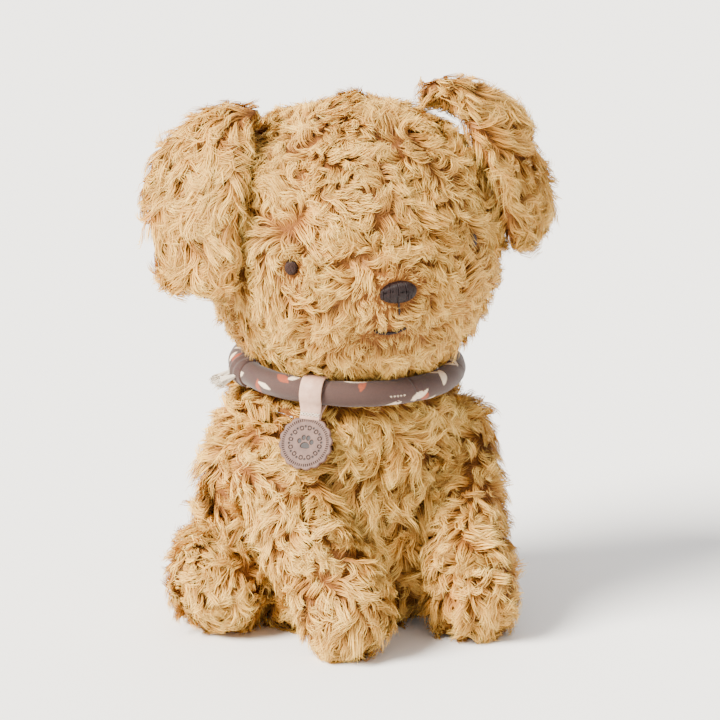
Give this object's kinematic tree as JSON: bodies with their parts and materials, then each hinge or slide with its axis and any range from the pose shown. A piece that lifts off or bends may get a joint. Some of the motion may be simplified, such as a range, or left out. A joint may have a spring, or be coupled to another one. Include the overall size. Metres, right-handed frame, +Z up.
{
  "type": "plush dog",
  "caption": "Sitting soft toy puppy in long curly pile, with floppy ears, a round cloth collar and a scalloped tag.",
  "frame": {"origin": "middle of the flat seat that the dog sits on", "axes": "+Z up, the dog faces -Y and its left side is at +X"},
  "size_m": [0.1635, 0.152, 0.2206],
  "materials": {
    "plush": "matte",
    "wadding": "matte",
    "pellets": "matte",
    "pouch_cloth": "matte",
    "eye_thread": "matte",
    "nose_thread": "matte",
    "seam_thread": "matte",
    "printed_cotton": "matte",
    "frayed_cotton": "matte",
    "strap_leather": "matte",
    "medallion_leather": "matte",
    "tag_thread": "matte"
  },
  "bodies": {
    "torso": {"torso_skin": "plush", "torso_stuffing": "wadding", "seat_panel": "plush", "pellet_pouch": "pouch_cloth", "pellets": "pellets"},
    "neck": {"neck_seam": "seam_thread"},
    "head": {"head_skin": "plush", "head_stuffing": "wadding", "right_eye": "eye_thread", "left_eye": "eye_thread", "nose": "nose_thread", "nose_stitch": "nose_thread", "mouth": "nose_thread"},
    "right_ear": {"right_ear_skin": "plush", "right_ear_wadding": "wadding"},
    "left_ear": {"left_ear_skin": "plush", "left_ear_wadding": "wadding"},
    "right_front_leg": {"right_front_leg_skin": "plush", "right_front_leg_stuffing": "wadding"},
    "left_front_leg": {"left_front_leg_skin": "plush", "left_front_leg_stuffing": "wadding"},
    "right_hind_leg": {"right_hind_leg_skin": "plush", "right_hind_leg_stuffing": "wadding"},
    "left_hind_leg": {"left_hind_leg_skin": "plush", "left_hind_leg_stuffing": "wadding"},
    "tail": {"tail_skin": "plush", "tail_stuffing": "wadding"},
    "collar": {"collar_cover": "printed_cotton", "collar_core": "wadding", "collar_knot": "printed_cotton", "collar_frayed_ends": "frayed_cotton"},
    "tag": {"tag_strap": "strap_leather", "tag_medallion": "medallion_leather", "tag_stitches": "tag_thread"}
  },
  "joints": [
    {"name": "head_turn", "type": "hinge", "parent": "torso", "child": "neck", "pos_m": [0, -0.008, 0.152], "axis": [0, -0.0698, 0.9976], "range_deg": [-30, 30], "stiffness_Nm_per_rad": 0.3},
    {"name": "head_nod", "type": "hinge", "parent": "neck", "child": "head", "pos_m": [0, -0.008, 0.152], "axis": [0.9779, -0.1901, 0.0872], "range_deg": [-12, 12], "stiffness_Nm_per_rad": 0.6},
    {"name": "right_ear_lift", "type": "hinge", "parent": "head", "child": "right_ear", "pos_m": [-0.04268, 0.00641, 0.2033], "axis": [-0.4154, 0.84, -0.349], "range_deg": [0, 100]},
    {"name": "left_ear_lift", "type": "hinge", "parent": "head", "child": "left_ear", "pos_m": [0.03556, -0.0088, 0.21028], "axis": [-0.7508, -0.6134, 0.245], "range_deg": [0, 100]},
    {"name": "right_front_leg_swing", "type": "hinge", "parent": "torso", "child": "right_front_leg", "pos_m": [-0.04, -0.017, 0.07], "axis": [0, 1, 0], "range_deg": [0, 45], "stiffness_Nm_per_rad": 0.2},
    {"name": "left_front_leg_swing", "type": "hinge", "parent": "torso", "child": "left_front_leg", "pos_m": [0.04, -0.017, 0.07], "axis": [0, -1, 0], "range_deg": [0, 45], "stiffness_Nm_per_rad": 0.2},
    {"name": "right_hind_leg_splay", "type": "hinge", "parent": "torso", "child": "right_hind_leg", "pos_m": [-0.037, 0.028, 0.0195], "axis": [0, 0, -1], "range_deg": [0, 15], "stiffness_Nm_per_rad": 0.2},
    {"name": "left_hind_leg_splay", "type": "hinge", "parent": "torso", "child": "left_hind_leg", "pos_m": [0.037, 0.028, 0.0195], "axis": [0, 0, 1], "range_deg": [0, 15], "stiffness_Nm_per_rad": 0.2},
    {"name": "tail_wag", "type": "hinge", "parent": "torso", "child": "tail", "pos_m": [0, 0.049, 0.027], "axis": [0, 0, 1], "range_deg": [-30, 30], "stiffness_Nm_per_rad": 0.02},
    {"name": "collar_turn", "type": "hinge", "parent": "torso", "child": "collar", "pos_m": [0, -0.00471, 0.10491], "axis": [0, -0.0698, 0.9976], "range_deg": [0, 85]},
    {"name": "tag_swing", "type": "hinge", "parent": "collar", "child": "tag", "pos_m": [-0.03076, -0.03539, 0.10277], "axis": [-0.7071, 0.7054, 0.0493], "range_deg": [0, 60]}
  ]
}
